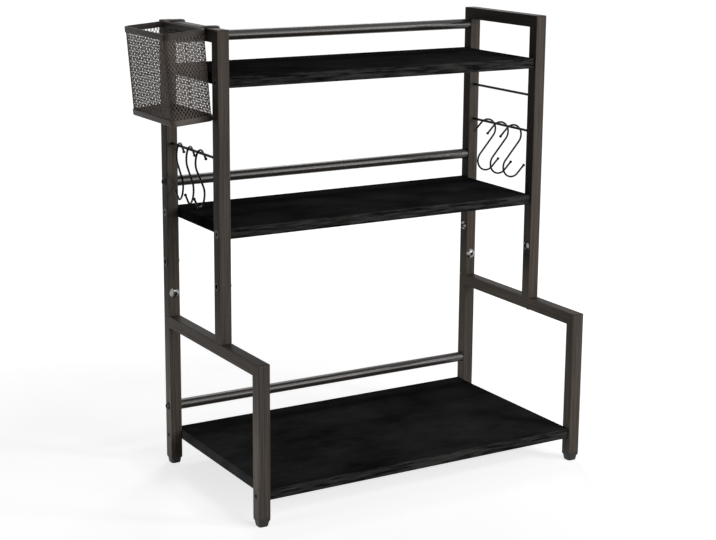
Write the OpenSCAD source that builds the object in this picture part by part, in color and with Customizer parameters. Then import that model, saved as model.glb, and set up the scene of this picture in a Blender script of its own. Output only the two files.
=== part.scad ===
// Free-standing three-tier spice rack with a stepped front.
// Two bent-tube side frames carry three boards and three back rails, S-hooks hang from
// thin rods at the sides, and a small mesh basket hangs outside the left frame.
// Origin: on the floor, under the middle of the whole outline with the basket and the hooks.
// +X runs to the right side frame, +Y to the back, +Z up.

/* [Rack] */
// Width over the two side frames
rack_w = 455; // [380:1:600]
// Depth over the legs
rack_d = 253; // [235:1:320]
// Depth of the narrow upper part over its posts
upper_d = 158; // [140:1:190]
// Height to the top of the side frames
rack_h = 554; // [540:1:640]
// Height of the step on which the upper part stands
step_h = 192; // [165:1:205]

/* [Tube] */
// Side of the square tube
tube = 15; // [14:0.5:18]
// Wall of the square tube
tube_wall = 1.5; // [1:0.1:2]
// Outer corner radius of the square tube
tube_r = 1; // [0.4:0.1:1.4]
// Radius of the outer corners where the tubes meet
corner_r = 2.5; // [1.2:0.1:4]

/* [Shelves] */
// Thickness of each board
board_t = 12.7; // [10:0.1:16]
// Height of the bottom board's upper face
bottom_top = 43.3; // [30:0.1:80]
// Drop from the frame's top to the middle board's upper face
middle_drop = 226.5; // [215:0.5:240]
// Drop from the frame's top to the top board's upper face
top_drop = 53; // [48:0.5:60]
// Setback of each board's front edge behind the posts' front faces
board_setback = 3; // [0:0.1:3.5]
// Setback of each board's back edge
board_back = 0.5; // [0:0.1:3]

/* [Rails] */
// Diameter of the back rails
rail_d = 13; // [10:0.5:16]
// Wall of the back rails
rail_wall = 1.2; // [0.8:0.1:2]
// Height of a rail's centre above its board
rail_rise = 31.3; // [26:0.1:32]

/* [Side rods] */
// Diameter of the side rods
rod_d = 3.2; // [2.4:0.1:4]
// Drop from the frame's top to the upper rod
upper_rod_drop = 101.5; // [96:0.5:103]
// Drop from the frame's top to the lower rod, which carries the hooks
lower_rod_drop = 147.5; // [130:0.5:150]

/* [Feet] */
// Height of the whole foot under the tube
foot_h = 11.3; // [9:0.1:16]
// Height of the foot's collar, flush with the tube
foot_collar = 3.7; // [2:0.1:5]
// Height of the neck that slopes from the collar to the tip
foot_neck = 1.4; // [0.8:0.1:2]
// Width of the foot's tip under the neck
foot_top_w = 13.8; // [12.8:0.1:13.8]
// Width of the foot's tip above the bevel at the floor
foot_base_w = 12.4; // [10:0.1:12.6]
// Corner radius of the foot's tip under the neck
foot_top_r = 3; // [2:0.1:4]
// Corner radius of the foot's tip above the bevel
foot_base_r = 3.6; // [2.5:0.1:4.5]
// Bevel between the foot's tip and the floor
foot_bevel = 0.9; // [0.5:0.1:1.5]
// Length of the foot's plug inside the tube
foot_plug = 12; // [6:0.5:20]

/* [Fasteners] */
// Diameter of the countersunk shelf screws
shelf_screw_d = 5; // [4:0.1:5.5]
// Head diameter of the countersunk shelf screws
shelf_head_d = 10; // [9:0.1:11]
// Length of the shelf screws
shelf_screw_l = 38; // [30:0.5:50]
// Diameter of the rail, lock, post and spare bolts
bolt_d = 6; // [5:0.1:6.5]
// Head diameter of the button-head bolts
button_d = 10.6; // [9.5:0.1:12]
// Head height of the button-head bolts
button_h = 3.2; // [2.5:0.1:4]
// Head diameter of the two large lock bolts
lock_d = 12.8; // [11:0.1:14]
// Head height of the two large lock bolts
lock_h = 3; // [2.4:0.1:3.6]
// Width across the corners of the sockets for the key
key_d = 4.6; // [3:0.1:5]
// Height of the lock bolts on the way from the step to the spare bolts
lock_share = 0.43; // [0.36:0.01:0.5]
// Diameter of the barrel of the spare threaded inserts
insert_d = 8.2; // [8:0.1:9]
// Diameter of the flat flange of the spare threaded inserts
insert_flange_d = 10.4; // [9.6:0.1:12]

/* [Basket] */
// Size of the basket away from the side frame
basket_w = 52; // [40:0.5:70]
// Height of the basket
basket_h = 104.5; // [103:0.5:106]
// Corner radius of the basket
basket_r = 6.8; // [4:0.1:10]
// Play of the basket between the upper posts, both sides together
basket_play = 10.5; // [8:0.5:24]
// Thickness of the basket's mesh and sheet
sheet_t = 0.9; // [0.7:0.1:1.2]
// Height of the folded rim
rim_h = 6.8; // [5:0.1:10]
// Height of the tray band around the bottom
base_band_h = 7; // [5:0.1:10]
// Width of the basket's two hooks
strap_w = 6.6; // [5:0.1:9]
// Thickness of the basket's two hooks
strap_t = 2; // [1.4:0.1:2.4]
// Distance of each basket hook from the basket's end
strap_inset = 12.5; // [10:0.5:25]
// Reach of the basket hooks below the top of the bar
strap_drop = 8; // [6:0.1:8.4]

/* [S-hooks] */
// Wire diameter of the S-hooks
wire_d = 2.5; // [1.8:0.1:3]
// Radius of the S-hooks' bends along the middle of the wire
bend_r = 13.5; // [11:0.1:14.5]
// Distance between the centres of an S-hook's two bends
bend_span = 40.8; // [36:0.1:42]
// Length of the straight lip after each bend
lip_l = 13.5; // [8:0.1:14]
// Diameter of the ball on each end of the wire
ball_d = 3.8; // [3.2:0.1:4.6]
// Places of the right hooks, forward of the rear post's centre
right_hook_back = 39; // [30:0.5:42]
// Step from one right hook to the next
right_hook_step = 28.6; // [26:0.1:30]

/* [Fits] */
// Clearance around a bolt in its hole
hole_gap = 0.25; // [0.1:0.05:0.4]
// Clearance between a thread and its pilot hole or insert
thread_gap = 0.05; // [0.02:0.01:0.1]
// Clearance of a plug inside its tube
plug_gap = 0.15; // [0.05:0.05:0.3]
// Clearance where a hanging piece bears on the frame
hang_gap = 0.3; // [0.2:0.05:0.4]
// Clearance of the basket hooks behind the top bar
strap_gap = 0.95; // [0.9:0.05:1.5]

/* [Hidden] */
$fn = 64;
eps = 0.01;
margin = 5;
over = 1;
round_wire = 24;
post_x = rack_w / 2 - tube / 2;
inner_x = rack_w / 2 - tube;
rear_y = rack_d / 2;
rear_post_y = rear_y - tube / 2;
front_leg_y = -rear_post_y;
front_post_face = rear_y - upper_d;
front_post_y = front_post_face + tube / 2;
middle_top = rack_h - middle_drop;
top_top = rack_h - top_drop;
upper_rod_z = rack_h - upper_rod_drop;
lower_rod_z = rack_h - lower_rod_drop;
spare_z = (step_h + middle_top) / 2;
lock_z = step_h + lock_share * (spare_z - step_h);
bore = tube - 2 * tube_wall;
plug_w = bore - 2 * plug_gap;
connector_down = 45;
connector_over = 9;
connector_up = lock_z - step_h + connector_over;
post_plug_l = 16;
rail_nut_l = 12;
bolt_end = 3;
insert_flange_t = 0.6;
insert_l = bore - over;
head_cone = (shelf_head_d - shelf_screw_d) / 2;
key_depth = 2;
rod_l = upper_d - 2 * tube;
basket_l = rod_l - basket_play;
basket_y = (rear_post_y + front_post_y) / 2;
lean = atan((tube / 2 - rod_d / 2 + strap_t) / (upper_rod_drop - rim_h));
basket_x = -rack_w / 2 - hang_gap - strap_t * cos(lean) - rim_h * sin(lean);
rim_t = 3 * sheet_t;
hook_arc = asin(2 * bend_r / bend_span);
shank_l = sqrt(bend_span * bend_span - 4 * bend_r * bend_r);
lip_turn = 135;
wire_lap = 0.2;
crest_z = lower_rod_z + rod_d / 2 + hang_gap + wire_d / 2;
left_hook_back = [29.5, 58, 85.7];
left_hook_turn = [50, 48, 43];
hook_reach = (bend_r + lip_l) * sin(lip_turn) + ball_d / 2;
box_left = basket_x - basket_w * cos(lean);
box_middle = (box_left + post_x + hook_reach) / 2;

frame_colour = [0.27, 0.25, 0.23];
board_colour = [0.12, 0.12, 0.12];
dark_steel = [0.13, 0.13, 0.13];
bright_steel = [0.62, 0.62, 0.62];
foot_colour = [0.25, 0.25, 0.24];
basket_colour = [0.36, 0.33, 0.31];

// Everything is drawn about the middle of the two side frames and moved here to the origin
module placed() {
  translate([-box_middle, 0, 0]) children();
}

// Side frames are drawn for the right side, with the outer face towards +X
module on_left() {
  mirror([1, 0, 0]) children();
}

module both_sides() {
  children();
  on_left() children();
}

module rounded_rect(w, l, r) {
  square([w, l - 2 * r], center = true);
  square([w - 2 * r, l], center = true);
  for (x = [-1, 1], y = [-1, 1])
    translate([x * (w / 2 - r), y * (l / 2 - r)]) circle(r);
}

module tube_section() {
  difference() {
    rounded_rect(tube, tube, tube_r);
    square(bore, center = true);
  }
}

// An outline given as [y, z] points, drawn out across X
module across_x(points, w) {
  rotate([90, 0, 90]) linear_extrude(w, center = true) polygon(points);
}

module upright(y, z_low, z_high) {
  translate([post_x, y, z_low]) linear_extrude(z_high - z_low) tube_section();
}

module crossbar(y_front, y_back, z_top) {
  translate([post_x, y_back, z_top - tube / 2])
    rotate([90, 0, 0]) linear_extrude(y_back - y_front) tube_section();
}

// Keeps an upright below the mitre that falls from its outer face at z_top
module mitred_top(y, z_low, z_top, side) {
  out_y = y + side * (tube / 2 + margin);
  in_y = y - side * (tube / 2 + margin);
  intersection() {
    children();
    translate([post_x, 0, 0])
      across_x([
        [out_y, z_low - margin],
        [out_y, z_top + margin],
        [in_y, z_top - tube - margin],
        [in_y, z_low - margin]
      ], tube + margin);
  }
}

// Keeps a bar between the mitres at its two ends
module mitred_ends(y_front, y_back, z_top) {
  intersection() {
    children();
    translate([post_x, 0, 0])
      across_x([
        [y_front - margin, z_top + margin],
        [y_back + margin, z_top + margin],
        [y_back - tube - margin, z_top - tube - margin],
        [y_front + tube + margin, z_top - tube - margin]
      ], tube + margin);
  }
}

// What the outer corner of two tubes loses when it is ground round, for side 1 or -1
module corner_waste(y_out, z_top, side) {
  y_start = side < 0 ? -margin : 0;
  translate([post_x, y_out - side * corner_r, z_top - corner_r]) rotate([90, 0, 90])
    linear_extrude(tube + margin, center = true) difference() {
      translate([y_start, 0]) square(margin);
      circle(corner_r);
    }
}

// Hole for a bolt that runs along X through both walls of an upright
module bolt_hole(y, z, d) {
  translate([post_x, y, z]) rotate([0, 90, 0])
    cylinder(h = tube + 2 * over, d = d + 2 * hole_gap, center = true);
}

// Screw hole through both walls with a countersink in the outer one
module screw_hole(y, z) {
  bolt_hole(y, z, shelf_screw_d);
  translate([rack_w / 2 + eps, y, z]) rotate([0, -90, 0])
    cylinder(
      h = head_cone,
      d1 = shelf_head_d + 2 * hole_gap,
      d2 = shelf_screw_d + 2 * hole_gap
    );
}

// Hole in the outer wall for the barrel of a spare insert, and the bolt's hole opposite
module spare_hole(y) {
  bolt_hole(y, spare_z, bolt_d);
  translate([rack_w / 2 - tube_wall - over, y, spare_z]) rotate([0, 90, 0])
    cylinder(h = tube_wall + 2 * over, d = insert_d + 2 * thread_gap);
}

module rear_leg() {
  color(frame_colour) difference() {
    mitred_top(rear_post_y, foot_h, step_h, 1)
      upright(rear_post_y, foot_h, step_h);
    corner_waste(rear_y, step_h, 1);
    screw_hole(rear_post_y, bottom_top - board_t / 2);
    bolt_hole(rear_post_y, bottom_top + rail_rise, bolt_d);
  }
}

module front_leg() {
  color(frame_colour) difference() {
    mitred_top(front_leg_y, foot_h, step_h, -1)
      upright(front_leg_y, foot_h, step_h);
    corner_waste(-rear_y, step_h, -1);
    screw_hole(front_leg_y, bottom_top - board_t / 2);
  }
}

module step_bar() {
  color(frame_colour) difference() {
    mitred_ends(-rear_y, rear_y, step_h)
      crossbar(-rear_y, rear_y, step_h);
    corner_waste(-rear_y, step_h, -1);
    corner_waste(rear_y, step_h, 1);
    translate([post_x, front_post_y, step_h - tube - over])
      cylinder(h = tube + 2 * over, d = bolt_d + 2 * hole_gap);
    translate([post_x, rear_post_y, step_h])
      cube([bore, bore, 2 * tube], center = true);
  }
}

module rear_post() {
  color(frame_colour) difference() {
    mitred_top(rear_post_y, step_h, rack_h, 1)
      upright(rear_post_y, step_h, rack_h);
    corner_waste(rear_y, rack_h, 1);
    screw_hole(rear_post_y, middle_top - board_t / 2);
    screw_hole(rear_post_y, top_top - board_t / 2);
    bolt_hole(rear_post_y, middle_top + rail_rise, bolt_d);
    bolt_hole(rear_post_y, top_top + rail_rise, bolt_d);
    spare_hole(rear_post_y);
    translate([post_x, rear_y - tube - over, lock_z]) rotate([-90, 0, 0])
      cylinder(h = tube_wall + 2 * over, d = bolt_d + 2 * hole_gap);
  }
}

module front_post() {
  color(frame_colour) difference() {
    mitred_top(front_post_y, step_h, rack_h, -1)
      upright(front_post_y, step_h, rack_h);
    corner_waste(front_post_face, rack_h, -1);
    screw_hole(front_post_y, middle_top - board_t / 2);
    screw_hole(front_post_y, top_top - board_t / 2);
    spare_hole(front_post_y);
  }
}

module top_bar() {
  color(frame_colour) difference() {
    mitred_ends(front_post_face, rear_y, rack_h)
      crossbar(front_post_face, rear_y, rack_h);
    corner_waste(front_post_face, rack_h, -1);
    corner_waste(rear_y, rack_h, 1);
  }
}

module side_rod(z) {
  color(dark_steel)
    translate([post_x, rear_y - tube, z]) rotate([90, 0, 0])
      cylinder(h = rod_l, d = rod_d, $fn = round_wire);
}

// Distance from the middle of a square to its rounded corner
function corner_reach(w, r) = (w / 2 - r) * sqrt(2) + r;

// Collar flush with the tube, a sloping neck, a tip that narrows and rounds towards the
// floor, and a plug in the tube
module foot(y) {
  neck_z = foot_h - foot_collar;
  base_reach = corner_reach(foot_base_w, foot_base_r);
  tube_reach = corner_reach(tube, tube_r);
  levels = [0, foot_bevel, neck_z - foot_neck, neck_z, foot_h];
  flats = [foot_base_w / 2 - foot_bevel, foot_base_w / 2, foot_top_w / 2, tube / 2, tube / 2];
  corners = [
    base_reach - foot_bevel,
    base_reach,
    corner_reach(foot_top_w, foot_top_r),
    tube_reach,
    tube_reach
  ];
  side = [
    for (i = [0:4]) [flats[i], levels[i]],
    for (i = [4:-1:0]) [-flats[i], levels[i]]
  ];
  round_side = [
    [0, 0],
    for (i = [0:4]) [corners[i], levels[i]],
    [0, foot_h]
  ];
  color(foot_colour) translate([post_x, y, 0]) {
    intersection() {
      across_x(side, tube + margin);
      rotate([0, 0, 90]) across_x(side, tube + margin);
      rotate_extrude() polygon(round_side);
    }
    translate([0, 0, foot_h])
      linear_extrude(foot_plug) square(plug_w, center = true);
  }
}

// Square bar that joins the rear post to the leg below it
module post_connector() {
  color(dark_steel) difference() {
    translate([post_x, rear_post_y, step_h - connector_down])
      linear_extrude(connector_down + connector_up) square(plug_w, center = true);
    translate([post_x, rear_post_y, lock_z]) rotate([90, 0, 0])
      cylinder(h = tube, d = bolt_d + 2 * thread_gap, center = true);
  }
}

// Threaded block in the foot of the front post
module post_plug() {
  color(dark_steel) difference() {
    translate([post_x, front_post_y, step_h])
      linear_extrude(post_plug_l) square(plug_w, center = true);
    translate([post_x, front_post_y, step_h - over])
      cylinder(h = post_plug_l + 2 * over, d = bolt_d + 2 * thread_gap);
  }
}

// Board between the side frames, with pilot holes for the screws in its ends
module board(z_top, y_front_post) {
  y_front = y_front_post - tube / 2 + board_setback;
  y_back = rear_y - board_back;
  pilot_l = shelf_screw_l - tube + over;
  color(board_colour) difference() {
    translate([-inner_x, y_front, z_top - board_t])
      cube([2 * inner_x, y_back - y_front, board_t]);
    both_sides()
      for (y = [y_front_post, rear_post_y])
        translate([inner_x + eps, y, z_top - board_t / 2]) rotate([0, -90, 0])
          cylinder(h = pilot_l, d = shelf_screw_d + 2 * thread_gap);
  }
}

module rail(z_board) {
  color(frame_colour) translate([-inner_x, rear_post_y, z_board + rail_rise])
    rotate([0, 90, 0]) difference() {
      cylinder(h = 2 * inner_x, d = rail_d);
      translate([0, 0, -over])
        cylinder(h = 2 * (inner_x + over), d = rail_d - 2 * rail_wall);
    }
}

module rail_nut(z_board) {
  nut_d = rail_d - 2 * rail_wall - 2 * thread_gap;
  translate([inner_x, rear_post_y, z_board + rail_rise]) rotate([0, -90, 0])
    difference() {
      cylinder(h = rail_nut_l, d = nut_d);
      translate([0, 0, -over])
        cylinder(h = rail_nut_l + 2 * over, d = bolt_d + 2 * thread_gap);
    }
}

// Domed head that stands on the plane z = 0, with a six-sided socket for the key
module domed_head(d, h) {
  dome_r = (d * d / 4 + h * h) / (2 * h);
  difference() {
    intersection() {
      translate([0, 0, h - dome_r]) sphere(dome_r);
      cylinder(h = h, d = d);
    }
    translate([0, 0, h - key_depth]) cylinder(h = key_depth + over, d = key_d, $fn = 6);
  }
}

module button_bolt(l) {
  domed_head(button_d, button_h);
  translate([0, 0, -l]) cylinder(h = l + eps, d = bolt_d);
}

module shelf_screw() {
  difference() {
    union() {
      translate([0, 0, -head_cone])
        cylinder(h = head_cone, d1 = shelf_screw_d, d2 = shelf_head_d);
      translate([0, 0, -shelf_screw_l])
        cylinder(h = shelf_screw_l - head_cone, d = shelf_screw_d);
    }
    translate([0, 0, -key_depth]) cylinder(h = key_depth + over, d = key_d, $fn = 6);
  }
}

// The four screws of one board, two at each end
module shelf_screws(z_top, y_front_post) {
  color(dark_steel) both_sides()
    for (y = [y_front_post, rear_post_y])
      translate([rack_w / 2, y, z_top - board_t / 2]) rotate([0, 90, 0]) shelf_screw();
}

module rail_bolt(z_board) {
  translate([rack_w / 2, rear_post_y, z_board + rail_rise]) rotate([0, 90, 0])
    button_bolt(tube + rail_nut_l - bolt_end);
}

module lock_bolt() {
  translate([post_x, rear_y - tube, lock_z]) rotate([90, 0, 0]) {
    domed_head(lock_d, lock_h);
    translate([0, 0, tube_wall + plug_gap - tube])
      cylinder(h = tube - tube_wall - plug_gap + eps, d = bolt_d);
  }
}

module post_screw() {
  translate([post_x, front_post_y, step_h - tube]) rotate([180, 0, 0])
    button_bolt(tube + post_plug_l - bolt_end);
}

// Bolt from the inside of a post into the spare insert in its outer wall
module spare_bolt(y) {
  translate([inner_x, y, spare_z]) rotate([0, -90, 0])
    button_bolt(tube - bolt_end);
}

module spare_insert(y) {
  translate([rack_w / 2, y, spare_z]) rotate([0, -90, 0]) difference() {
    union() {
      translate([0, 0, -insert_flange_t]) cylinder(h = insert_flange_t, d = insert_flange_d);
      translate([0, 0, -eps]) cylinder(h = insert_l, d = insert_d);
    }
    translate([0, 0, -over]) cylinder(h = insert_l + 2 * over, d = bolt_d + 2 * thread_gap);
  }
}

// The basket's own frame: its top inner edge at the origin, leaning in at the bottom
module leaning() {
  translate([basket_x, basket_y, rack_h]) rotate([0, -lean, 0]) children();
}

// A wall of the basket all round, from depth a to depth b inside its outline
module basket_ring(a, b, h) {
  translate([-basket_w / 2, 0, 0]) linear_extrude(h) difference() {
    rounded_rect(basket_w - 2 * a, basket_l - 2 * a, basket_r - a);
    rounded_rect(basket_w - 2 * b, basket_l - 2 * b, basket_r - b);
  }
}

module basket_walls() {
  color(basket_colour) leaning()
    translate([0, 0, sheet_t - basket_h])
      basket_ring(sheet_t + thread_gap, 2 * sheet_t - thread_gap, basket_h - 2 * sheet_t);
}

// Folded rim over the upper edge of the walls
module basket_rim() {
  color(basket_colour) leaning() difference() {
    translate([0, 0, -rim_h]) basket_ring(0, rim_t, rim_h);
    translate([0, 0, -rim_h - sheet_t]) basket_ring(sheet_t, 2 * sheet_t, rim_h);
  }
}

// Bottom plate with its edge turned up around the walls
module basket_base() {
  color(basket_colour) leaning() translate([0, 0, -basket_h]) {
    basket_ring(0, sheet_t, base_band_h);
    translate([-basket_w / 2, 0, 0]) linear_extrude(sheet_t)
      rounded_rect(basket_w - sheet_t, basket_l - sheet_t, basket_r - sheet_t / 2);
  }
}

// A point [x, z] of the leaning basket in the rack's frame
function leaned(x, z) = [
  basket_x + x * cos(lean) - z * sin(lean),
  rack_h + x * sin(lean) + z * cos(lean)
];

// The basket's local height at which its line x reaches the rack's height z
function local_z(x, z) = (z - rack_h - x * sin(lean)) / cos(lean);

// Flat strap from the outside of the rim over the top bar
module basket_strap(y) {
  z_under = rack_h + hang_gap;
  z_over = z_under + strap_t;
  z_end = rack_h - strap_drop;
  x_leg = -inner_x + strap_gap;
  color(dark_steel) translate([0, y + strap_w / 2, 0]) rotate([90, 0, 0])
    linear_extrude(strap_w) polygon([
      leaned(0, -rim_h),
      leaned(0, local_z(0, z_over)),
      [x_leg + strap_t, z_over],
      [x_leg + strap_t, z_end],
      [x_leg, z_end],
      [x_leg, z_under],
      leaned(strap_t, local_z(strap_t, z_under)),
      leaned(strap_t, -rim_h)
    ]);
}

// Straight wire, a hair thicker than the bends and lapping them at both ends
module wire(l) {
  translate([0, 0, -wire_lap])
    cylinder(h = l + 2 * wire_lap, d = wire_d + 2 * eps, $fn = round_wire);
}

// The upper bend, lip and ball of an S-hook, in the XZ plane about the hook's middle
module hook_end() {
  translate([0, 0, bend_span / 2]) rotate([90, 0, 0])
    rotate([0, 0, -hook_arc])
      rotate_extrude(angle = lip_turn + hook_arc)
        translate([bend_r, 0]) circle(d = wire_d, $fn = round_wire);
  translate([bend_r * cos(lip_turn), 0, bend_span / 2 + bend_r * sin(lip_turn)])
    rotate([0, -lip_turn, 0]) {
      wire(lip_l);
      translate([0, 0, lip_l]) sphere(d = ball_d, $fn = round_wire);
    }
}

// An S-hook on a side rod, its crest above the rod and its upper lip towards -X
module s_hook() {
  color(dark_steel) translate([0, 0, crest_z - bend_r - bend_span / 2]) {
    hook_end();
    rotate([0, 180, 0]) hook_end();
    rotate([0, hook_arc, 0]) translate([0, 0, -shank_l / 2]) wire(shank_l);
  }
}

module left_hook(i) {
  translate([-post_x, rear_post_y - left_hook_back[i], 0])
    rotate([0, 0, left_hook_turn[i]]) on_left() s_hook();
}

module right_hook(i) {
  translate([post_x, rear_post_y - right_hook_back - i * right_hook_step, 0]) s_hook();
}

module bottom_shelf() {
  board(bottom_top, front_leg_y);
}

module middle_shelf() {
  board(middle_top, front_post_y);
}

module top_shelf() {
  board(top_top, front_post_y);
}

module rail_nuts() {
  color(dark_steel) both_sides()
    for (z = [bottom_top, middle_top, top_top])
      rail_nut(z);
}

module rail_bolts() {
  color(dark_steel) both_sides()
    for (z = [bottom_top, middle_top, top_top])
      rail_bolt(z);
}

module lock_bolts() {
  color(bright_steel) both_sides() lock_bolt();
}

module post_screws() {
  color(dark_steel) both_sides() post_screw();
}

module spare_bolts() {
  color(bright_steel) both_sides()
    for (y = [front_post_y, rear_post_y])
      spare_bolt(y);
}

module spare_inserts() {
  color(dark_steel) both_sides()
    for (y = [front_post_y, rear_post_y])
      spare_insert(y);
}

placed() on_left() rear_leg();  // left_rear_leg
placed() on_left() step_bar();  // left_step_bar
placed() on_left() front_leg();  // left_front_leg
placed() on_left() rear_post();  // left_rear_post
placed() on_left() top_bar();  // left_top_bar
placed() on_left() front_post();  // left_front_post
placed() on_left() side_rod(lower_rod_z);  // left_lower_rod
placed() on_left() side_rod(upper_rod_z);  // left_upper_rod
placed() rear_leg();  // right_rear_leg
placed() step_bar();  // right_step_bar
placed() front_leg();  // right_front_leg
placed() rear_post();  // right_rear_post
placed() top_bar();  // right_top_bar
placed() front_post();  // right_front_post
placed() side_rod(lower_rod_z);  // right_lower_rod
placed() side_rod(upper_rod_z);  // right_upper_rod
placed() on_left() foot(rear_post_y);  // left_rear_foot
placed() on_left() foot(front_leg_y);  // left_front_foot
placed() foot(rear_post_y);  // right_rear_foot
placed() foot(front_leg_y);  // right_front_foot
placed() on_left() post_connector();  // left_post_connector
placed() post_connector();  // right_post_connector
placed() on_left() post_plug();  // left_post_plug
placed() post_plug();  // right_post_plug
placed() bottom_shelf();
placed() middle_shelf();
placed() top_shelf();
placed() rail(bottom_top);  // bottom_rail
placed() rail(middle_top);  // middle_rail
placed() rail(top_top);  // top_rail
placed() rail_nuts();
placed() shelf_screws(bottom_top, front_leg_y);  // bottom_shelf_screws
placed() shelf_screws(middle_top, front_post_y);  // middle_shelf_screws
placed() shelf_screws(top_top, front_post_y);  // top_shelf_screws
placed() rail_bolts();
placed() lock_bolts();
placed() post_screws();
placed() spare_bolts();
placed() spare_inserts();
placed() basket_walls();
placed() basket_rim();
placed() basket_base();
placed() basket_strap(basket_y - basket_l / 2 + strap_inset);  // basket_front_strap
placed() basket_strap(basket_y + basket_l / 2 - strap_inset);  // basket_rear_strap
placed() left_hook(0);  // left_hook_rear
placed() left_hook(1);  // left_hook_middle
placed() left_hook(2);  // left_hook_front
placed() right_hook(0);  // right_hook_rear
placed() right_hook(1);  // right_hook_middle
placed() right_hook(2);  // right_hook_front
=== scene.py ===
import math

import bmesh
import bpy
from mathutils import Matrix, Vector


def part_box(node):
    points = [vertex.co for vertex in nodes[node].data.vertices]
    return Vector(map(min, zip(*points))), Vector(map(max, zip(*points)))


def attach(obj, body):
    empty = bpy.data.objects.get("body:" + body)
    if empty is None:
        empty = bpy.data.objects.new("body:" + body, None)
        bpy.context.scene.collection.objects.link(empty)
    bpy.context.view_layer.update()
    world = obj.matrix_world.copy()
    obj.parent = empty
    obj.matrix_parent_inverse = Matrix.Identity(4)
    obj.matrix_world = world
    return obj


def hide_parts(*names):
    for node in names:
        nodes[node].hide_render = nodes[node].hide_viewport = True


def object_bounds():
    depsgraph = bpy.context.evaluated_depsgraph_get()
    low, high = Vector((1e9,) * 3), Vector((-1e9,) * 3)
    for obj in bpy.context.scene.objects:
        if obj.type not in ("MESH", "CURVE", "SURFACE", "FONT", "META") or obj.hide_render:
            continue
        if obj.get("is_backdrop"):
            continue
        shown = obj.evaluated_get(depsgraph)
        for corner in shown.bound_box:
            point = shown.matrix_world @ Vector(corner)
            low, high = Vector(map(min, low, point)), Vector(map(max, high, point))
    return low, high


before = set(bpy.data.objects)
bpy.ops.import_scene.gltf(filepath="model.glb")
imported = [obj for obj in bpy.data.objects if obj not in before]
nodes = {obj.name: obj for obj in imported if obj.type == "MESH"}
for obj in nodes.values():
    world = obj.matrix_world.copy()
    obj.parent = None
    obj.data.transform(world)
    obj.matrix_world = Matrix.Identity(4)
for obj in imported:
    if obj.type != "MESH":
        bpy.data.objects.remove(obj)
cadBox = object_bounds()
mm = 0.001
print("frame: loaded", len(nodes), "CAD nodes")


# Helpers for materials

def newMaterial(name):
    material = bpy.data.materials.new(name)
    material.use_nodes = True
    material.node_tree.nodes.clear()
    return material


# A node of that kind, with its sockets set by name, _ standing for a space
def addNode(material, kind, **values):
    node = material.node_tree.nodes.new(kind)
    for key, value in values.items():
        node.inputs[key.replace("_", " ")].default_value = value
    return node


def join(material, source, output, target, socket):
    material.node_tree.links.new(source.outputs[output], target.inputs[socket])


# Object coordinates stretched by scale, in cycles per metre
def objectPattern(material, scale):
    place = material.node_tree.nodes.new("ShaderNodeTexCoord")
    mapping = addNode(material, "ShaderNodeMapping", Scale=scale)
    join(material, place, "Object", mapping, "Vector")
    return mapping


def noise(material, scale, detail=3.0, roughness=0.55):
    texture = addNode(material, "ShaderNodeTexNoise", Scale=1.0, Detail=detail, Roughness=roughness)
    join(material, objectPattern(material, scale), "Vector", texture, "Vector")
    return texture


noiseReach = (0.3, 0.7)  # where most of a noise lies
roughnessSwing = 0.05


# The base colour: dark at the reach's low end, light at its high end
def tint(material, source, output, shader, dark, light, reach=noiseReach):
    ramp = material.node_tree.nodes.new("ShaderNodeValToRGB")
    join(material, source, output, ramp, "Fac")
    for element, position, colour in zip(ramp.color_ramp.elements, reach, (dark, light)):
        element.position = position
        element.color = (*colour, 1)
    join(material, ramp, "Color", shader, "Base Color")


# Roughness that follows the noise, a little below and above its middle value
def roughen(material, source, shader, middle):
    low, high = noiseReach
    node = addNode(material, "ShaderNodeMapRange", From_Min=low, From_Max=high,
                   To_Min=middle - roughnessSwing, To_Max=middle + roughnessSwing)
    join(material, source, "Fac", node, "Value")
    join(material, node, "Result", shader, "Roughness")


def bump(material, source, shader, strength, depth):
    node = addNode(material, "ShaderNodeBump", Strength=strength, Distance=depth)
    join(material, source, "Fac", node, "Height")
    join(material, node, "Normal", shader, "Normal")


def finishMaterial(material, shader):
    out = material.node_tree.nodes.new("ShaderNodeOutputMaterial")
    join(material, shader, "BSDF", out, "Surface")
    return material


# A colour given as sRGB from 0 to 255, as the shader's linear triple
def shade(*levels):
    return tuple(((c / 255 + 0.055) / 1.055) ** 2.4 if c > 10 else c / 255 / 12.92 for c in levels)


# Camera

cameraView = {
    # metres, degrees and millimetres
    "place": (-0.9971, -1.6649, 0.7230),
    "yaw": 30.805,
    "pitch": 12.438,
    "roll": 0.455,
    "lens": 81.883,
    "sensor": 36,
    "shiftY": -0.05,
    "farClip": 20,
}


def makeCamera(view):
    yaw, pitch, roll = (math.radians(view[angle]) for angle in ("yaw", "pitch", "roll"))
    level = math.cos(pitch)
    ahead = Vector((math.sin(yaw) * level, math.cos(yaw) * level, -math.sin(pitch)))
    right = Vector((math.cos(yaw), -math.sin(yaw), 0))
    up = right.cross(ahead)
    x = right * math.cos(roll) + up * math.sin(roll)
    y = up * math.cos(roll) - right * math.sin(roll)
    data = bpy.data.cameras.new("camera")
    data.lens = view["lens"]
    data.sensor_width = view["sensor"]
    data.shift_y = view["shiftY"]
    data.clip_end = view["farClip"]
    camera = bpy.data.objects.new("camera", data)
    turn = Matrix((x, y, -ahead)).transposed().to_4x4()
    camera.matrix_world = Matrix.Translation(view["place"]) @ turn
    bpy.context.scene.collection.objects.link(camera)
    bpy.context.scene.camera = camera


makeCamera(cameraView)
print("camera: set")


# Floor, world and lamps

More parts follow.
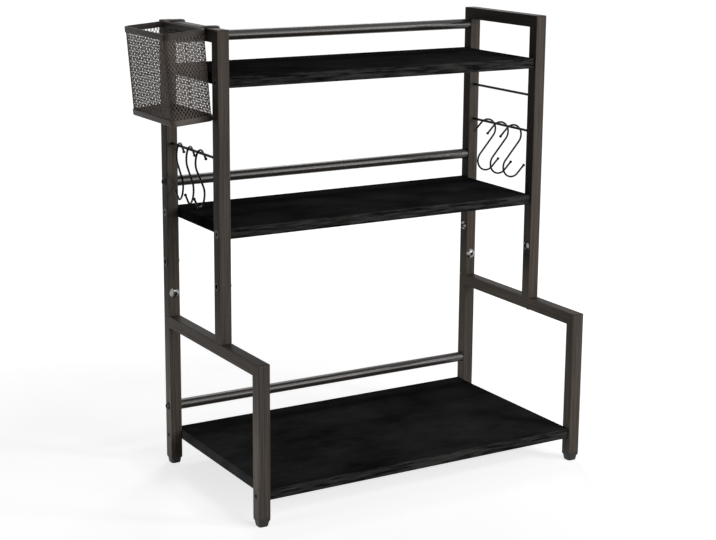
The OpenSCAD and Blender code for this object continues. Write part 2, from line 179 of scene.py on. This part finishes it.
studio = {
    "floorSize": 12.0,
    "floorColour": (0.78, 0.78, 0.78),
    "liftNear": 0.72,  # the floor's own light within nearEnd
    "liftFar": 1.0,  # and beyond farStart
    "nearEnd": 0.45,
    "farStart": 1.1,
    "fill": 0.06,  # light from all round on dull surfaces
    "lamps": [
        # name, place, aim, width, height, watts, spread in degrees
        ("frontLamp", (0.6, -2.6, 1.15), (0, 0, 0.28), 1.3, 1.3, 19, 180),
        ("sideLamp", (1.2, -1.9, 0.35), (0.1, 0, 0.3), 0.6, 0.4, 13, 180),
        ("lowLamp", (-1.04, 0.0, 0.06), (0, 0, 0.07), 0.5, 0.05, 0.26, 26),
        ("topLamp", (0.5, 0.9, 1.2), (0, 0, 0.4), 0.5, 0.5, 4, 180),
        ("glintLamp", (1.0, -1.1, 0.95), (0.1, 0.1, 0.3), 0.25, 0.25, 4.2, 180),
    ],
}


# 1 for rays that look at the background: from the camera, off gloss and through glass
def shownRays(tree):
    path = tree.nodes.new("ShaderNodeLightPath")
    total = path.outputs["Is Camera Ray"]
    for name in ("Is Glossy Ray", "Is Transmission Ray"):
        add = tree.nodes.new("ShaderNodeMath")
        add.operation = "MAXIMUM"
        tree.links.new(total, add.inputs[0])
        tree.links.new(path.outputs[name], add.inputs[1])
        total = add.outputs[0]
    return total


# White paper that keeps the soft shadow near the object and is plain white further off
def makeFloor(settings):
    material = newMaterial("floorPaper")
    tree = material.node_tree
    paper = addNode(material, "ShaderNodeBsdfDiffuse", Color=(*settings["floorColour"], 1))
    place = tree.nodes.new("ShaderNodeTexCoord")
    away = tree.nodes.new("ShaderNodeVectorMath")
    away.operation = "LENGTH"
    tree.links.new(place.outputs["Object"], away.inputs[0])
    rise = addNode(material, "ShaderNodeMapRange",
                   From_Min=settings["nearEnd"], From_Max=settings["farStart"],
                   To_Min=settings["liftNear"], To_Max=settings["liftFar"])
    tree.links.new(away.outputs["Value"], rise.inputs["Value"])
    strength = tree.nodes.new("ShaderNodeMath")
    strength.operation = "MULTIPLY"
    tree.links.new(rise.outputs[0], strength.inputs[0])
    tree.links.new(shownRays(tree), strength.inputs[1])
    lift = addNode(material, "ShaderNodeEmission", Color=(1, 1, 1, 1))
    tree.links.new(strength.outputs[0], lift.inputs["Strength"])
    both = tree.nodes.new("ShaderNodeAddShader")
    tree.links.new(paper.outputs[0], both.inputs[0])
    tree.links.new(lift.outputs[0], both.inputs[1])
    out = tree.nodes.new("ShaderNodeOutputMaterial")
    tree.links.new(both.outputs[0], out.inputs["Surface"])
    bm = bmesh.new()
    bmesh.ops.create_grid(bm, x_segments=1, y_segments=1, size=settings["floorSize"] / 2)
    mesh = bpy.data.meshes.new("floor")
    bm.to_mesh(mesh)
    bm.free()
    mesh.materials.append(material)
    floor = bpy.data.objects.new("floor", mesh)
    bpy.context.scene.collection.objects.link(floor)
    floor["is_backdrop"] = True


def makeWorld(settings):
    world = bpy.data.worlds.new("studio")
    world.use_nodes = True
    tree = world.node_tree
    tree.nodes.clear()
    light = tree.nodes.new("ShaderNodeBackground")
    light.inputs["Color"].default_value = (1, 1, 1, 1)
    level = tree.nodes.new("ShaderNodeMapRange")
    level.inputs["To Min"].default_value = settings["fill"]
    level.inputs["To Max"].default_value = 1
    tree.links.new(shownRays(tree), level.inputs["Value"])
    tree.links.new(level.outputs[0], light.inputs["Strength"])
    out = tree.nodes.new("ShaderNodeOutputWorld")
    tree.links.new(light.outputs[0], out.inputs["Surface"])
    bpy.context.scene.world = world


def makeLamp(name, place, aim, width, height, watts, spread):
    data = bpy.data.lights.new(name, "AREA")
    data.shape = "RECTANGLE"
    data.size = width
    data.size_y = height
    data.energy = watts
    data.spread = math.radians(spread)
    lamp = bpy.data.objects.new(name, data)
    lamp.location = place
    lamp.visible_camera = False
    lamp.rotation_euler = (Vector(aim) - Vector(place)).to_track_quat("-Z", "Y").to_euler()
    bpy.context.scene.collection.objects.link(lamp)


makeFloor(studio)
makeWorld(studio)
for lamp in studio["lamps"]:
    makeLamp(*lamp)
bpy.context.scene.view_settings.view_transform = "Standard"
print("studio: floor, world and", len(studio["lamps"]), "lamps")


# Finishes

bronze = {
    "dark": shade(62, 57, 52),
    "light": shade(95, 88, 82),
    "specular": 0.03,
    "roughness": 0.4,
    "grit": 0.1,
}

railLook = {
    "dark": shade(44, 40, 37),
    "light": shade(54, 49, 46),
    "specular": 0.5,
    "roughness": 0.3,
    "grit": 0.0,
}

streakDetail, streakRoughness = 3.0, 0.6
gritScale, gritDetail, gritDepth = (1400, 1400, 1400), 2.0, 0.2 * mm


# Paint with faint streaks, given in cycles per metre, and a fine grit
def tubePaint(name, streaks, look):
    material = newMaterial(name)
    shader = addNode(material, "ShaderNodeBsdfPrincipled", Specular_IOR_Level=look["specular"])
    streak = noise(material, streaks, streakDetail, streakRoughness)
    tint(material, streak, "Fac", shader, look["dark"], look["light"])
    roughen(material, streak, shader, look["roughness"])
    bump(material, noise(material, gritScale, gritDetail), shader, look["grit"], gritDepth)
    return finishMaterial(material, shader)


uprightPaint = tubePaint("uprightPaint", (600, 600, 9), bronze)
barPaint = tubePaint("barPaint", (600, 9, 600), bronze)
railPaint = tubePaint("railPaint", (5, 300, 300), railLook)

# name: colour, mottle, metallic, roughness, specular
plainLooks = {
    "rodPaint": (shade(10, 10, 10), 0.2, 0.0, 0.4, 0.1),
    # The basket has one paint: the rim is painted darker as painted shade and the tray lighter as
    # painted light
    "rimPaintShaded": (shade(70, 63, 58), 0.12, 0.0, 0.45, 0.12),
    "trayPaintLit": (shade(106, 97, 91), 0.12, 0.0, 0.45, 0.12),
    # The mesh strands are painted lighter than the basket's paint, a painted highlight
    "meshPaintLit": (shade(128, 117, 109), 0.12, 0.0, 0.4, 0.12),
    "strapPaint": (shade(30, 28, 27), 0.2, 0.0, 0.42, 0.25),
    "hookSteel": (shade(10, 10, 10), 0.2, 0.0, 0.2, 0.12),
    "boltBlack": (shade(20, 19, 19), 0.2, 0.0, 0.35, 0.2),
    "innerSteel": (shade(70, 68, 66), 0.2, 0.8, 0.45, 0.5),
    "footPlastic": (shade(62, 61, 59), 0.08, 0.0, 0.5, 0.1),
}

mottleScale = (350, 350, 350)


# One colour with a fine mottle, which is how far the colour varies up and down
def plainFinish(name, colour, mottle, metallic, roughness, specular):
    material = newMaterial(name)
    shader = addNode(material, "ShaderNodeBsdfPrincipled", Metallic=metallic,
                     Specular_IOR_Level=specular)
    spots = noise(material, mottleScale)
    dark = tuple(c * (1 - mottle) for c in colour)
    light = tuple(min(1, c * (1 + mottle)) for c in colour)
    tint(material, spots, "Fac", shader, dark, light)
    roughen(material, spots, shader, roughness)
    return finishMaterial(material, shader)


finish = {name: plainFinish(name, *look) for name, look in plainLooks.items()}

plating = {
    "look": (shade(146, 143, 140), 0.1, 1.0, 0.3, 0.5),
    # painted shade for the inside of the key sockets
    "socketShadeColour": shade(12, 12, 12),
    "lockHead": 6.4 * mm,
    "lockSocket": 2.6 * mm,
    "spareHead": 5.3 * mm,
    "spareSocket": 3.4 * mm,
}

# A Mix node's own sockets for numbers and for colours
numberMix = {"a": 2, "b": 3, "result": 0}
colourMix = {"a": 6, "b": 7, "result": 2}


# One step of arithmetic on another node's output
def arithmetic(material, operation, source, output, value=0.0):
    node = material.node_tree.nodes.new("ShaderNodeMath")
    node.operation = operation
    node.inputs[1].default_value = value
    join(material, source, output, node, 0)
    return node


# Plated bolts in two rows, apart along axis 0 (X) or 1 (Y), with painted shade in their round key
# sockets
def platedBolts(name, node, axis, head, socket):
    low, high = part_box(node)
    middle = (low + high) / 2
    material = plainFinish(name, *plating["look"])
    place = material.node_tree.nodes.new("ShaderNodeTexCoord")
    parts = material.node_tree.nodes.new("ShaderNodeSeparateXYZ")
    join(material, place, "Object", parts, "Vector")
    side = arithmetic(material, "SUBTRACT", parts, axis, middle[axis])
    side = arithmetic(material, "ABSOLUTE", side, 0)
    side = arithmetic(material, "SUBTRACT", side, 0, high[axis] - middle[axis] - head)
    rise = arithmetic(material, "SUBTRACT", parts, "Z", middle.z)
    spot = material.node_tree.nodes.new("ShaderNodeCombineXYZ")
    join(material, side, 0, spot, "X")
    join(material, rise, 0, spot, "Y")
    reach = material.node_tree.nodes.new("ShaderNodeVectorMath")
    reach.operation = "LENGTH"
    join(material, spot, "Vector", reach, 0)
    outside = arithmetic(material, "GREATER_THAN", reach, "Value", socket)
    shader = next(n for n in material.node_tree.nodes if n.type == "BSDF_PRINCIPLED")
    colour = shader.inputs["Base Color"].links[0].from_node
    # Inside each socket the colour is the painted shade colour, and the metal turns dull
    mix = material.node_tree.nodes.new("ShaderNodeMix")
    mix.data_type = "RGBA"
    mix.inputs[colourMix["a"]].default_value = (*plating["socketShadeColour"], 1)
    join(material, outside, 0, mix, "Factor")
    join(material, colour, "Color", mix, colourMix["b"])
    join(material, mix, colourMix["result"], shader, "Base Color")
    join(material, outside, 0, shader, "Metallic")
    return material


lockSteel = platedBolts("lockSteel", "lock_bolts", 0, plating["lockHead"], plating["lockSocket"])
spareSteel = platedBolts("spareSteel", "spare_bolts", 1,
                         plating["spareHead"], plating["spareSocket"])

laminateGrain = {
    "fibres": (26, 240, 330),  # cycles per metre
    "fibreDetail": 4.0,
    "fibreRoughness": 0.7,
    # Large clouds of painted sheen: lighter patches in the colour where reflections would be
    "sheenClouds": (11, 16, 11),
    "sheenCloudDetail": 3.0,
    "sheenCloudRoughness": 0.6,
    "roughness": 0.6,
    "bump": 0.2,
    "bumpDepth": 0.3 * mm,
}

# dark, light, share of the painted sheen clouds, half the reach between the two colours
boardLook = (shade(25, 25, 25), shade(53, 53, 53), 0.8, 0.16)
bandLook = (shade(16, 16, 16), shade(60, 60, 59), 0.1, 0.1)


# Near-black laminate: fine wood grain along the board and faint clouds of painted sheen, lighter
# patches that stand in for reflections
def boardLaminate(name, dark, light, sheenShare, halfReach):
    grain = laminateGrain
    material = newMaterial(name)
    shader = addNode(material, "ShaderNodeBsdfPrincipled", Specular_IOR_Level=0.0,
                     Roughness=grain["roughness"])
    fibres = noise(material, grain["fibres"], grain["fibreDetail"], grain["fibreRoughness"])
    sheenClouds = noise(material, grain["sheenClouds"], grain["sheenCloudDetail"], grain["sheenCloudRoughness"])
    both = addNode(material, "ShaderNodeMix", Factor=sheenShare)
    join(material, fibres, "Fac", both, numberMix["a"])
    join(material, sheenClouds, "Fac", both, numberMix["b"])
    reach = (0.5 - halfReach, 0.5 + halfReach)
    tint(material, both, numberMix["result"], shader, dark, light, reach)
    bump(material, fibres, shader, grain["bump"], grain["bumpDepth"])
    return finishMaterial(material, shader)


laminate = boardLaminate("boardLaminate", *boardLook)
edgeBand = boardLaminate("edgeBand", *bandLook)


def paint(material, *names):
    for name in names:
        slots = nodes[name].data.materials
        slots.clear()
        slots.append(material)


for side in ("left_", "right_"):
    paint(uprightPaint, side + "rear_leg", side + "front_leg")
    paint(uprightPaint, side + "rear_post", side + "front_post")
    paint(barPaint, side + "step_bar", side + "top_bar")
    paint(finish["rodPaint"], side + "lower_rod", side + "upper_rod")
    paint(finish["footPlastic"], side + "rear_foot", side + "front_foot")
    paint(finish["innerSteel"], side + "post_connector", side + "post_plug")
    paint(finish["hookSteel"], side + "hook_rear", side + "hook_middle", side + "hook_front")
paint(laminate, "bottom_shelf", "middle_shelf", "top_shelf")
paint(railPaint, "bottom_rail", "middle_rail", "top_rail")
paint(finish["innerSteel"], "rail_nuts")
paint(lockSteel, "lock_bolts")
paint(spareSteel, "spare_bolts")
paint(finish["boltBlack"], "bottom_shelf_screws", "middle_shelf_screws", "top_shelf_screws")
paint(finish["boltBlack"], "rail_bolts", "post_screws", "spare_inserts")
# The mesh walls carry a painted highlight on their strands
paint(finish["meshPaintLit"], "basket_walls")
# The rim carries painted shade and the tray painted light on the basket's one paint
paint(finish["rimPaintShaded"], "basket_rim")
paint(finish["trayPaintLit"], "basket_base")
paint(finish["strapPaint"], "basket_front_strap", "basket_rear_strap")
print("finishes: on all CAD nodes")


# Helpers for new pieces

sharpAngle = math.radians(35)
levelCosine = 0.99  # a face is level when its normal rises more than this
uprightRise = mm / 10  # and an edge is upright when it rises more than this


# Makes the piece that stands for a CAD node, smooth except at sharp edges
def showPiece(name, bm, material, body, node):
    mesh = bpy.data.meshes.new(name)
    bm.to_mesh(mesh)
    bm.free()
    mesh.materials.append(material)
    mesh.shade_smooth()
    mesh.set_sharp_from_angle(angle=sharpAngle)
    piece = bpy.data.objects.new(name, mesh)
    bpy.context.scene.collection.objects.link(piece)
    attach(piece, body)
    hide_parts(node)
    return piece


def bevel(bm, geom, width, steps, affect="EDGES"):
    return bmesh.ops.bevel(bm, geom=geom, offset=width, segments=steps, profile=0.5,
                           affect=affect, material=-1)


def boxBetween(bm, low, high):
    made = bmesh.ops.create_cube(bm, size=1)["verts"]
    bmesh.ops.scale(bm, verts=made, vec=[b - a for a, b in zip(low, high)])
    bmesh.ops.translate(bm, verts=made, vec=[(a + b) / 2 for a, b in zip(low, high)])
    return made


# A box with rounded upright edges
def roundedBox(bm, low, high, corner, steps):
    made = boxBetween(bm, low, high)
    rises = {e: abs(e.verts[0].co.z - e.verts[1].co.z) for v in made for e in v.link_edges}
    bevel(bm, [e for e in rises if rises[e] > uprightRise], corner, steps)


# Faces that look up for turn 1 and down for turn -1
def levelFaces(bm, turn):
    bm.normal_update()
    return [f for f in bm.faces if f.normal.z * turn > levelCosine]


# Boards with slightly rounded edges and a banded front and back

boards = {
    "edge": 0.5 * mm,
    "steps": 2,
    "bandFacing": 0.8,  # how far a face looks to the front or back to carry the band
}


def buildBoard(node, name):
    bm = bmesh.new()
    boxBetween(bm, *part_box(node))
    bevel(bm, bm.edges[:], boards["edge"], boards["steps"])
    board = showPiece(name, bm, laminate, "rack", node)
    board.data.materials.append(edgeBand)
    for face in board.data.polygons:
        face.material_index = 1 if abs(face.normal.y) > boards["bandFacing"] else 0


buildBoard("bottom_shelf", "bottomBoard")
buildBoard("middle_shelf", "middleBoard")
buildBoard("top_shelf", "topBoard")
print("boards: 3")


# Feet: a collar flush with the tube, a sloping neck and a tip that rounds off towards the floor

foot = {
    "levels": [
        # height, width and corner radius in millimetres
        (0.0, 10.4, 2.6),
        (0.25, 11.6, 3.1),
        (0.9, 12.4, 3.6),
        (6.2, 13.8, 3.0),
        (7.6, 15.0, 1.4),
        (11.3, 15.0, 1.0),
    ],
    "cornerSteps": 5,
    "plug": 11.7 * mm,
}


# A level square with rounded corners; gives back its outline's edges
def roundedSquare(bm, height, width, corner, steps):
    made = bmesh.ops.create_grid(bm, x_segments=1, y_segments=1, size=width / 2)["verts"]
    bmesh.ops.translate(bm, verts=made, vec=(0, 0, height))
    rounded = bevel(bm, made, corner, steps, "VERTICES")["verts"]
    return [e for v in rounded for e in v.link_edges if len(e.link_faces) == 1]


def buildFoot(node, name):
    low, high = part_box(node)
    bm = bmesh.new()
    rings = []
    for height, width, corner in foot["levels"]:
        ring = roundedSquare(bm, height * mm, width * mm, corner * mm, foot["cornerSteps"])
        rings.append(list(dict.fromkeys(ring)))
    faces = sorted(bm.faces, key=lambda f: f.calc_center_median().z)
    bmesh.ops.delete(bm, geom=faces[1:-1], context="FACES_ONLY")
    for ring, above in zip(rings, rings[1:]):
        bmesh.ops.bridge_loops(bm, edges=ring + above)
    plug = foot["plug"] / 2
    boxBetween(bm, (-plug, -plug, foot["levels"][-1][0] * mm), (plug, plug, high.z))
    bmesh.ops.recalc_face_normals(bm, faces=bm.faces)
    bmesh.ops.translate(bm, verts=bm.verts, vec=((low.x + high.x) / 2, (low.y + high.y) / 2, 0))
    showPiece(name, bm, finish["footPlastic"], "rack", node)


buildFoot("left_rear_foot", "leftRearFoot")
buildFoot("left_front_foot", "leftFrontFoot")
buildFoot("right_rear_foot", "rightRearFoot")
buildFoot("right_front_foot", "rightFrontFoot")
print("feet: 4")


# Basket, in its own leaning frame: its top inner edge is at the origin

basket = {
    "place": (-0.209765, 0.0475, 0.554),
    "lean": 4.7686,  # degrees
    "width": 52 * mm,
    "length": 117.5 * mm,
    "height": 104.5 * mm,
    "corner": 6.8 * mm,
    "cornerSteps": 7,
    "rimHeight": 6.8 * mm,
    "rimThick": 2.7 * mm,
    "rimFold": 1.1 * mm,
    "bandHeight": 7 * mm,
    "bandFold": 1.4 * mm,
    "foldSteps": 4,
    "sheet": 0.9 * mm,
}

wall = {
    "depth": 1.35 * mm,  # from the basket's outline to the middle of the sheet
    "low": -103.6 * mm,
    "high": -0.9 * mm,
    "thick": 0.7 * mm,
    "cellWidth": 4.2 * mm,
    "cellHeight": 6.25 * mm,
    "strand": 0.52 * mm,
}

spareCells = 4  # more than the sheet needs, to be cut off at its edges
cutTolerance = 1e-7
openShare = 0.2  # a cell cut down to less than this stays solid
mergeDistance = mm / 200


def placeBasket(bm):
    turn = Matrix.Rotation(math.radians(-basket["lean"]), 4, "Y")
    bm.transform(Matrix.Translation(basket["place"]) @ turn)


def turnSheet(bm, degrees, axis):
    turn = Matrix.Rotation(math.radians(degrees), 3, axis)
    bmesh.ops.rotate(bm, verts=bm.verts, cent=(0, 0, 0), matrix=turn)


# A flat sheet of diamonds on the plane y = 0, between the wall's low and high edges;
# the grid's squares have a diagonal of 1, and are stood on a corner and stretched
def meshSheet(length, cellWidth):
    bm = bmesh.new()
    cellHeight = wall["cellHeight"]
    rows = (wall["high"] - wall["low"]) / cellHeight
    reach = int(length / cellWidth + rows) + spareCells
    bmesh.ops.create_grid(bm, x_segments=reach, y_segments=reach, size=reach / math.sqrt(8))
    turnSheet(bm, 45, "Z")
    bmesh.ops.scale(bm, verts=bm.verts, vec=(cellWidth, cellHeight, 1))
    turnSheet(bm, 90, "X")
    bmesh.ops.translate(bm, verts=bm.verts, vec=(0, 0, (wall["low"] + wall["high"]) / 2))
    cuts = [((length / 2, 0, 0), (1, 0, 0)), ((-length / 2, 0, 0), (-1, 0, 0)),
            ((0, 0, wall["high"]), (0, 0, 1)), ((0, 0, wall["low"]), (0, 0, -1))]
    for place, normal in cuts:
        everything = list(bm.verts) + list(bm.edges) + list(bm.faces)
        bmesh.ops.bisect_plane(bm, geom=everything, dist=cutTolerance, plane_co=place,
                               plane_no=normal, clear_outer=True)
    holes = [f for f in bm.faces if f.calc_area() > openShare * cellWidth * cellHeight]
    bmesh.ops.inset_individual(bm, faces=holes, thickness=wall["strand"] / 2, use_even_offset=True)
    bmesh.ops.delete(bm, geom=holes, context="FACES")
    return bm


# Bends the sheet round the basket, starting and ending in the middle of the wall by the rack
def wrapRound(bm, straightX, straightY, radius):
    quarter = radius * math.pi / 2
    half = straightY / 2
    stretches = [half, quarter, straightX, quarter, straightY, quarter, straightX, quarter, half]
    last = len(stretches) - 1
    start = -sum(stretches) / 2
    for vert in bm.verts:
        left = vert.co.x - start
        place = Vector((straightX / 2 + radius, 0))
        heading = math.pi / 2
        for i, length in enumerate(stretches):
            step = min(left, length) if i < last else left
            if i % 2:
                centre = place + Vector((-math.sin(heading), math.cos(heading))) * radius
                heading += step / radius
                place = centre + Vector((math.sin(heading), -math.cos(heading))) * radius
            else:
                place = place + Vector((math.cos(heading), math.sin(heading))) * step
            left -= step
            if left <= 0:
                break
        vert.co.x, vert.co.y = place


def buildWalls():
    radius = basket["corner"] - wall["depth"]
    straightX = basket["width"] - 2 * basket["corner"]
    straightY = basket["length"] - 2 * basket["corner"]
    around = 2 * (straightX + straightY + math.pi * radius)
    cells = round(around / wall["cellWidth"])
    bm = meshSheet(around, around / cells)
    wrapRound(bm, straightX, straightY, radius)
    bmesh.ops.remove_doubles(bm, verts=bm.verts, dist=mergeDistance)
    bmesh.ops.recalc_face_normals(bm, faces=bm.faces)
    bmesh.ops.translate(bm, verts=bm.verts, vec=(-basket["width"] / 2, 0, 0))
    placeBasket(bm)
    piece = showPiece("basketMesh", bm, finish["meshPaintLit"], "basket", "basket_walls")
    sheet = piece.modifiers.new("sheet", "SOLIDIFY")
    sheet.thickness = wall["thick"]
    sheet.offset = 0


# The basket's outline as a rounded box between two of its own heights
def basketBox(low, high):
    bm = bmesh.new()
    halfY = basket["length"] / 2
    corners = (-basket["width"], -halfY, low), (0, halfY, high)
    roundedBox(bm, *corners, basket["corner"], basket["cornerSteps"])
    return bm


# The folded rim: an outer skin, thickened inwards, with its top edges rounded
def buildRim():
    bm = basketBox(-basket["rimHeight"], 0)
    bmesh.ops.delete(bm, geom=levelFaces(bm, 1) + levelFaces(bm, -1), context="FACES")
    bmesh.ops.recalc_face_normals(bm, faces=bm.faces)
    bmesh.ops.solidify(bm, geom=bm.faces[:], thickness=basket["rimThick"])
    flat = levelFaces(bm, 1)
    edges = dict.fromkeys(e for f in flat for e in f.edges)
    rims = [e for e in edges if sum(f in flat for f in e.link_faces) == 1]
    bevel(bm, rims, basket["rimFold"], basket["foldSteps"])
    placeBasket(bm)
    showPiece("basketRim", bm, finish["rimPaintShaded"], "basket", "basket_rim")


# The bottom plate with its edge turned up around the walls
def buildBase():
    low = -basket["height"]
    bm = basketBox(low, low + basket["bandHeight"])
    bmesh.ops.delete(bm, geom=levelFaces(bm, 1), context="FACES")
    rims = [e for f in levelFaces(bm, -1) for e in f.edges]
    bevel(bm, rims, basket["bandFold"], basket["foldSteps"])
    bmesh.ops.recalc_face_normals(bm, faces=bm.faces)
    bmesh.ops.solidify(bm, geom=bm.faces[:], thickness=basket["sheet"])
    placeBasket(bm)
    showPiece("basketTray", bm, finish["trayPaintLit"], "basket", "basket_base")


buildWalls()
buildRim()
buildBase()
print("basket: walls, rim and tray")


# Straps: bent strips from the rim's outside over the top bar

strap = {
    "thick": 2 * mm,
    "outerBend": 3 * mm,
    "steps": 5,
    "far": -188.957 * mm,
    "end": 546 * mm,
    "over": 556.3 * mm,
}


def buildStrap(node, name):
    low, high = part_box(node)
    lean = math.radians(basket["lean"])
    x, _, z = basket["place"]
    drop = basket["rimHeight"]
    start = (x + drop * math.sin(lean), z - drop * math.cos(lean))
    knee = (x - (strap["over"] - z) * math.tan(lean), strap["over"])
    path = [start, knee, (strap["far"], strap["over"]), (strap["far"], strap["end"])]
    bm = bmesh.new()
    verts = [bm.verts.new((px, low.y, pz)) for px, pz in path]
    edges = [bm.edges.new(pair) for pair in zip(verts, verts[1:])]
    made = bmesh.ops.extrude_edge_only(bm, edges=edges)["geom"]
    moved = [v for v in made if isinstance(v, bmesh.types.BMVert)]
    bmesh.ops.translate(bm, verts=moved, vec=(0, high.y - low.y, 0))
    bends = [e for e in bm.edges if len(e.link_faces) == 2]
    bevel(bm, bends, strap["outerBend"], strap["steps"])
    bmesh.ops.recalc_face_normals(bm, faces=bm.faces)
    bm.normal_update()
    # The path is the strap's outside, so its faces look up where it crosses the bar
    if max(bm.faces, key=lambda f: f.calc_area() * abs(f.normal.z)).normal.z < 0:
        bmesh.ops.reverse_faces(bm, faces=bm.faces)
    bmesh.ops.solidify(bm, geom=bm.faces[:], thickness=strap["thick"])
    showPiece(name, bm, finish["strapPaint"], "basket", node)


buildStrap("basket_front_strap", "frontStrap")
buildStrap("basket_rear_strap", "rearStrap")
print("straps: 2")

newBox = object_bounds()
for label, corners in (("cad", cadBox), ("visual", newBox)):
    print("box:", label, [[round(v * 1000, 2) for v in c] for c in corners])
